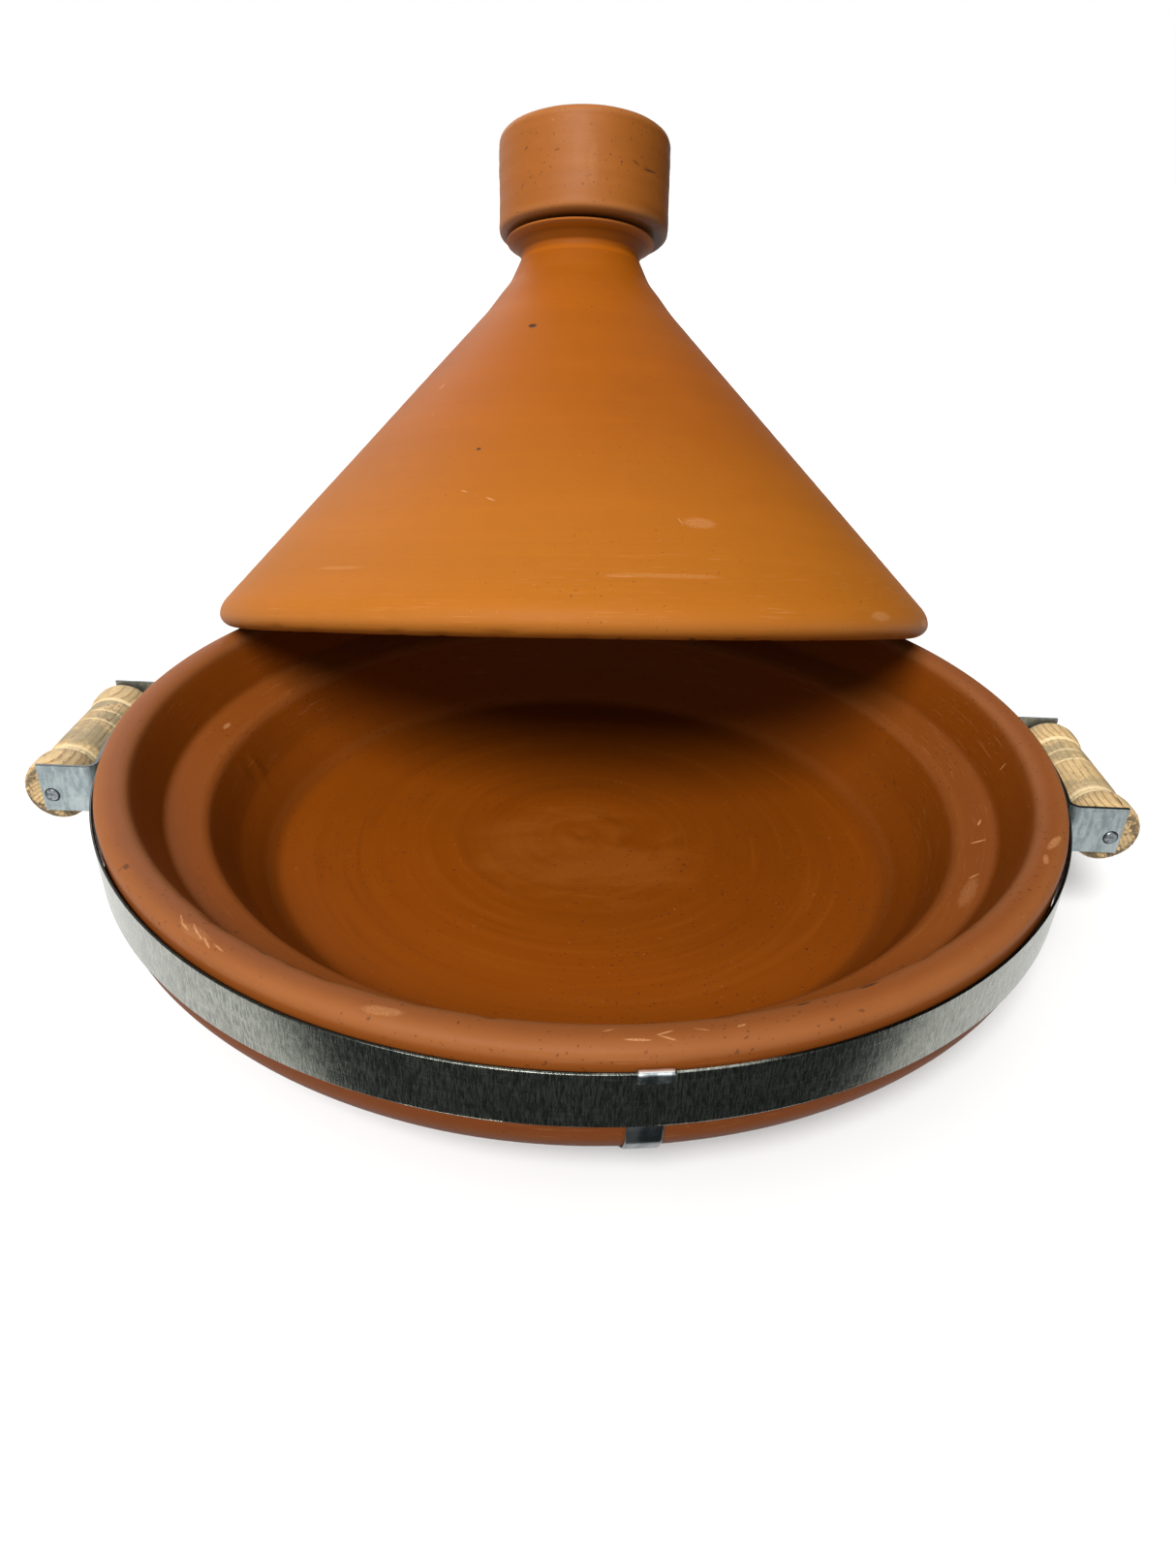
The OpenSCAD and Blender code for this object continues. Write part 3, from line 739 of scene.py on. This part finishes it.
dish_pale = [(on_rim(-126.5, 184), (0, 0, -52), (3.6, 0.45, 2.5), 0.70),
             (on_rim(-127.5, 183), (0, 0, -60), (3.0, 0.40, 2.5), 0.65),
             (on_rim(-128.6, 184.4), (0, 0, -48), (3.4, 0.45, 2.5), 0.60),
             (on_rim(-129.6, 183.2), (0, 0, -62), (2.6, 0.40, 2.5), 0.60),
             (on_rim(-125.0, 184.8), (0, 0, -55), (3.2, 0.50, 2.5), 0.65),
             (on_rim(-123.6, 184.2), (0, 0, -40), (3.2, 0.40, 2.5), 0.60),
             (on_rim(-127.0, 184), (0, 0, -35), (8, 2.4, 2.5), 0.18),
             (on_rim(-106, 183.5), (0, 0, -8), (7, 2.0, 2.5), 0.32),
             (on_rim(-84.5, 184.2), (0, 0, 2), (4.6, 0.45, 2.5), 0.75),
             (on_rim(-82.0, 184.0), (0, 0, -14), (3.0, 0.40, 2.5), 0.70),
             (on_rim(-82.2, 182.3), (0, 0, 24), (3.2, 0.40, 2.5), 0.60),
             (on_rim(-79.0, 182.0), (0, 0, -6), (2.6, 0.35, 2.5), 0.50),
             (on_rim(-75.5, 182.4), (0, 0, 26), (1.6, 0.45, 2.5), 0.65),
             (on_rim(-86.8, 180.6), (0, 0, 20), (2.0, 0.40, 2.5), 0.50),
             (on_rim(-26, 183), (0, 0, 50), (7, 1.6, 2.5), 0.45),
             (on_rim(-30, 182), (0, 0, 70), (4, 1.2, 2.5), 0.40),
             (on_rim(-17, 160, 48.3), (0, 0, 0), (4.0, 0.5, 2), 0.95),
             (on_rim(-12, 161, 48.7), (0, 0, 60), (2.6, 0.5, 2), 0.9),
             (on_rim(-26, 160.6, 48.5), (0, 0, 20), (3.0, 0.5, 2), 0.85),
             (on_rim(-3, 171.9, 60.8), (0, 0, 10), (2.0, 0.5, 2.4), 0.8),
             (on_rim(-30, 161, 48.5), (0, 0, 62), (13, 3.5, 2), 0.22),
             (on_rim(172, 160, 48.4), (0, 0, 80), (3.6, 1.2, 2), 0.55)]
dish_dark = [(on_rim(-146, 187.6, 60), (0, 0, 0), (2.0, 2.0, 2.4), 0.55),
             (on_rim(-141, 184.5), (0, 0, 30), (1.2, 1.8, 2), 0.6),
             (on_rim(-69, 178), (0, 0, 21), (3.4, 0.7, 2), 0.8),
             (on_rim(-62, 178.5), (0, 0, 28), (4.5, 0.9, 2), 0.7),
             (on_rim(-113, 177.5), (0, 0, -23), (6.0, 0.7, 2), 0.6),
             (on_rim(-120, 177.5), (0, 0, -30), (3.6, 0.8, 2), 0.6),
             (on_rim(-97, 178), (0, 0, -7), (2.6, 0.6, 2), 0.6),
             ((88, -72, 12.7), (0, 0, 40), (0.7, 0.7, 1), 0.7),
             ((-52, -30, 12.7), (0, 0, 0), (0.6, 0.5, 1), 0.7)]

lid_clay = clay("lid_clay_turned", LID_TONES, (4, 30, 0.30), lid_pale, lid_dark, 0.10,
                zones=lid_tone_shade_and_highlight)
knob_clay = clay("knob_clay_turned", KNOB_TONES, (196, 228, 0.22), knob_painted_sheen, knob_dark, 0.10,
                 zones=knob_painted_shade, roughness=0.46, shine=0.12, specks=0.70)
dish_clay = clay("dish_clay_turned", DISH_TONES, (30, 66, 0.22), dish_pale, dish_dark, 0.14,
                 zones=dish_tones_and_shade, roughness=0.47, shine=0.06, specks=0.69)


def galvanised(name, tones, roughness, streak, scratch, own=False, zones=None, uneven=0.16):
    """Zinc-coated sheet: fine mottled streaks one way, scratches the other, dull spots."""
    p = Paint(name, own)
    at = p.place()
    streaks = p.noise(p.stretch(at, streak), 1.0, 4, 0.65)
    scratches = p.noise(p.stretch(at, scratch), 1.0, 3, 0.7)
    spangle = p.noise(at, 95, 3, 0.6, 0.5)
    spots = p.fade(p.noise(at, 520, 2, 0.6), 0.62, 0.7)
    colour = p.mix(p.fade(streaks, 0.36, 0.62), tones[0], tones[1])
    colour = p.mix(p.times(p.fade(scratches, 0.58, 0.68), 0.35), colour, tones[2])
    colour = p.shade(colour, p.vary((spangle, 0.35), (p.noise(at, 1800, 2), 0.18)))
    colour = p.mix(p.times(spots, 0.35), colour, tones[0])
    rough = p.plus(roughness, p.plus(p.times(streaks, uneven), p.times(scratches, 0.10)))
    if zones:
        colour = zones(p, colour, p.split(at)[2])
    normal = p.bumps((streaks, 0.045), (scratches, 0.03), (spangle, 0.05))
    return p.done(colour, rough, normal, Metallic=1.0, Specular_IOR_Level=0.5)


def edge_shade_and_glint(p, colour, z):
    """The band's and brackets' cut top edge is painted dark as shade, with a painted glint along it in
    places.
    """
    edge = p.fade(z, 63.72 * MM, 63.88 * MM)
    painted_glint = p.fade(p.noise(p.place(), 16, 2), 0.54, 0.62)
    return p.shade(colour, p.plus(1.0, p.times(edge, p.plus(-0.90, p.times(painted_glint, 1.3)))))


def strap_highlight_and_shade(p, colour, z):
    """The strap's fold is painted with a bright highlight, and the strap is painted darker near the table
    as shade.
    """
    # painted highlight on the fold
    colour = p.mix(p.fade(z, 64.70 * MM, 64.85 * MM), colour, (0.95, 0.95, 0.93))
    # painted shade near the table
    return p.shade(colour, p.fade(z, 4 * MM, 28 * MM, 0.05, 1.0))


ZINC = ((0.130, 0.140, 0.125), (0.330, 0.340, 0.292), (0.47, 0.485, 0.43))
BLUE_ZINC = ((0.24, 0.285, 0.30), (0.38, 0.43, 0.44), (0.55, 0.60, 0.61))
band_metal = galvanised("band_zinc", ZINC, 0.04, (2300, 2300, 260), (60, 60, 900), own=True,
                        zones=edge_shade_and_glint, uneven=0.32)
strap_metal = galvanised("strap_zinc", ((0.12, 0.14, 0.15), (0.34, 0.36, 0.37), (0.6, 0.62, 0.63)),
                         0.24, (260, 260, 50), (90, 90, 500), own=True,
                         zones=strap_highlight_and_shade)
bracket_metal = galvanised("bracket_zinc", BLUE_ZINC, 0.22, (420, 420, 150), (200, 200, 1200),
                           zones=edge_shade_and_glint)
rivet_metal = galvanised("rivet_zinc", BLUE_ZINC, 0.26, (300, 300, 300), (700, 700, 700))
rod_metal = galvanised("rod_zinc", ((0.10, 0.11, 0.12), (0.30, 0.33, 0.35), (0.5, 0.54, 0.56)),
                       0.30, (700, 700, 60), (700, 700, 700), own=True)


def pine(name, pith, seed, cracks, weathered):
    """Turned pine: rings about an off-centre pith, grey weathering, dirt specks and end grain."""
    p = Paint(name)
    at = p.place()
    x, y, z = p.split(at)
    wander = p.noise(p.join(p.plus(p.times(x, 30), seed), p.times(y, 30), p.times(z, 9)), 1.0, 2)
    px = p.plus(x, -pith[0] * MM)
    py = p.plus(y, -pith[1] * MM)
    distance = p.math("SQRT", p.plus(p.times(px, px), p.times(py, py)))
    phase = p.math("FRACT", p.plus(p.times(distance, 1 / (1.55 * MM)), p.times(wander, 2.6)))
    late = p.times(p.fade(phase, 0.45, 0.88), p.fade(phase, 1.0, 0.93))
    fibre = p.noise(p.stretch(at, (1500, 1500, 60)), 1.0, 4, 0.7)
    pores = p.fade(p.noise(p.stretch(at, (2600, 2600, 180)), 1.0, 2, 0.6), 0.58, 0.68)
    # the cut beads are fresh and striped, the plain barrel between them greyer
    length = p.math("ABSOLUTE", z)
    barrel = p.fade(length, 24 * MM, 20 * MM)
    patches = p.fade(p.noise(p.offset(at, seed * 0.013), 60, 4, 0.65), 0.52, 0.40)
    grey = p.times(p.plus(p.times(barrel, 0.45), 0.30), p.times(patches, weathered))
    colour = p.mix(p.times(late, p.plus(0.75, p.times(barrel, -0.30))), (0.360, 0.255, 0.122),
                   (0.215, 0.110, 0.040))
    colour = p.shade(colour, p.vary((fibre, 0.6), (p.noise(at, 300, 3), 0.3)))
    colour = p.mix(p.times(pores, 0.30), colour, (0.15, 0.09, 0.04))
    colour = p.mix(grey, colour, p.shade((0.150, 0.122, 0.072), p.vary((fibre, 0.8))))
    crease = p.fade(p.value("edge"), -0.06, -0.6)
    colour = p.mix(p.times(crease, 0.55), colour, (0.52, 0.40, 0.23))
    grime = p.times(p.fade(p.noise(at, 640, 3, 0.7), 0.605, 0.665),
                    p.fade(p.noise(p.offset(at, 0.3 + seed), 75, 2), 0.46, 0.57))
    colour = p.mix(p.times(grime, 0.85), colour, (0.03, 0.022, 0.014))
    # end grain: rough and dirty, most of all at its rim
    radius = p.math("SQRT", p.plus(p.times(x, x), p.times(y, y)))
    ends = p.fade(length, 35.0 * MM, 36.2 * MM)
    dirt = p.fade(p.plus(p.noise(at, 480, 4, 0.75), p.fade(radius, 5 * MM, 13 * MM, -0.12, 0.13)),
                  0.45, 0.59)
    colour = p.mix(p.times(ends, p.times(dirt, 0.85)), colour, (0.045, 0.033, 0.020))
    sunk = p.math("SUBTRACT", p.times(fibre, 0.8),
                  p.plus(p.times(pores, 0.5), p.plus(p.times(grime, 0.8), p.times(late, -0.3))))
    for place, turn, half, strength in cracks:
        mark = p.times(p.blot(at, place, turn, half, 0.4), strength)
        colour = p.mix(mark, colour, (0.05, 0.035, 0.025))
        sunk = p.math("SUBTRACT", sunk, p.times(mark, 1.5))
    rough = p.plus(0.50, p.times(fibre, 0.2))
    normal = p.bumps((sunk, 0.16), (p.noise(at, 900, 3), 0.04), (p.times(ends, dirt), 0.12))
    return p.done(colour, rough, normal, Specular_IOR_Level=0.22)


def finish_with(obj, material):
    obj.data.materials.clear()
    obj.data.materials.append(material)


for obj, material in ((dish, dish_clay), (cone, lid_clay), (knob, knob_clay), (band, band_metal),
                      (lap, band_metal), (strap, strap_metal), (rods[0], rod_metal),
                      (rods[1], rod_metal)):
    finish_with(obj, material)
finish_with(grips["left"], pine("pine_left", (9, 21), 3.0, [], 1.0))
finish_with(grips["right"], pine("pine_right", (-14, 17), 8.0,
                                 [((3, -12.6, -31), (0, 0, 20), (0.45, 1.2, 4.5), 0.95),
                                  ((-7, -10.6, -33), (0, 0, 0), (0.6, 0.8, 0.6), 0.9)], 0.75))

# CAD parts that keep their mesh: softened edges and their own metal
for node, material, width in (
        ("left_bracket", bracket_metal, 0.25), ("right_bracket", bracket_metal, 0.25),
        ("band_rivets", rivet_metal, 0.2), ("left_bracket_rivets", rivet_metal, 0.2),
        ("right_bracket_rivets", rivet_metal, 0.2)):
    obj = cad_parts[node]
    for slot in obj.material_slots:
        slot.material = material
    weld = obj.modifiers.new("weld", "WELD")
    weld.merge_threshold = 0.002 * MM
    bevel = obj.modifiers.new("bevel", "BEVEL")
    bevel.width, bevel.segments = width * MM, 2
    bevel.limit_method, bevel.angle_limit = "ANGLE", math.radians(35)
    bevel.harden_normals = True


# ---------------------------------------------------------------- studio
FLOOR_PAPER = (0.56, 0.56, 0.555)
CARD_BLACK, FLAG_BLACK = (0.009, 0.012, 0.0118), (0.02, 0.02, 0.02)


def stage_plane(name, size_x, size_y, at, material):
    mesh = bpy.data.meshes.new(name)
    sx, sy = size_x / 2, size_y / 2
    mesh.from_pydata([(-sx, -sy, 0), (sx, -sy, 0), (sx, sy, 0), (-sx, sy, 0)], [], [(0, 1, 2, 3)])
    obj = bpy.data.objects.new(name, mesh)
    scene.collection.objects.link(obj)
    obj.location = at
    mesh.materials.append(material)
    return obj


def plain(name, colour, roughness):
    p = Paint(name)
    return p.done((*colour, 1.0), roughness, Specular_IOR_Level=0.2)


stage_plane("floor", 200, 200, (0, 0, 0), plain("floor_paper", FLOOR_PAPER, 0.8))
# a dark studio card in front of the pot, seen only as a reflection in the metal
card = stage_plane("dark_card", 0.9, 0.5, (0.0, -0.437, 0.001),
                   plain("card_black", CARD_BLACK, 0.8))
card.rotation_euler[2] = math.radians(4.2)
card.visible_camera = card.visible_diffuse = card.visible_shadow = False
card.visible_transmission = card.visible_volume_scatter = False
# a dark flag to the right of the pot keeps that side a little darker
flag = stage_plane("dark_flag", 1.5, 2.4, (0.75, 0.40, 0.76), plain("flag_black", FLAG_BLACK, 0.9))
flag.rotation_euler[1] = math.radians(-90)
flag.visible_camera = flag.visible_shadow = False

world = bpy.data.worlds.new("studio")
world.use_nodes = True
world.node_tree.nodes["Background"].inputs["Color"].default_value = (1, 1, 1, 1)
world.node_tree.nodes["Background"].inputs["Strength"].default_value = 1.0
scene.world = world


def lamp(name, kind, from_side, energy, **settings):
    """A light on the given side of the pot, shining at it."""
    data = bpy.data.lights.new(name, kind)
    data.energy = energy
    for key, value in settings.items():
        setattr(data, key, value)
    light = bpy.data.objects.new(name, data)
    scene.collection.objects.link(light)
    light.location = from_side
    light.rotation_euler = (Vector((0, 0, 0.1)) - Vector(from_side)).to_track_quat("-Z", "Y").to_euler()


lamp("key", "SUN", (-0.30, -1.15, 1.38), 6.0, angle=math.radians(26))
lamp("back_left", "AREA", (-0.95, 1.7, 1.1), 12, shape="SQUARE", size=1.0)
scene.view_settings.view_transform = "Standard"
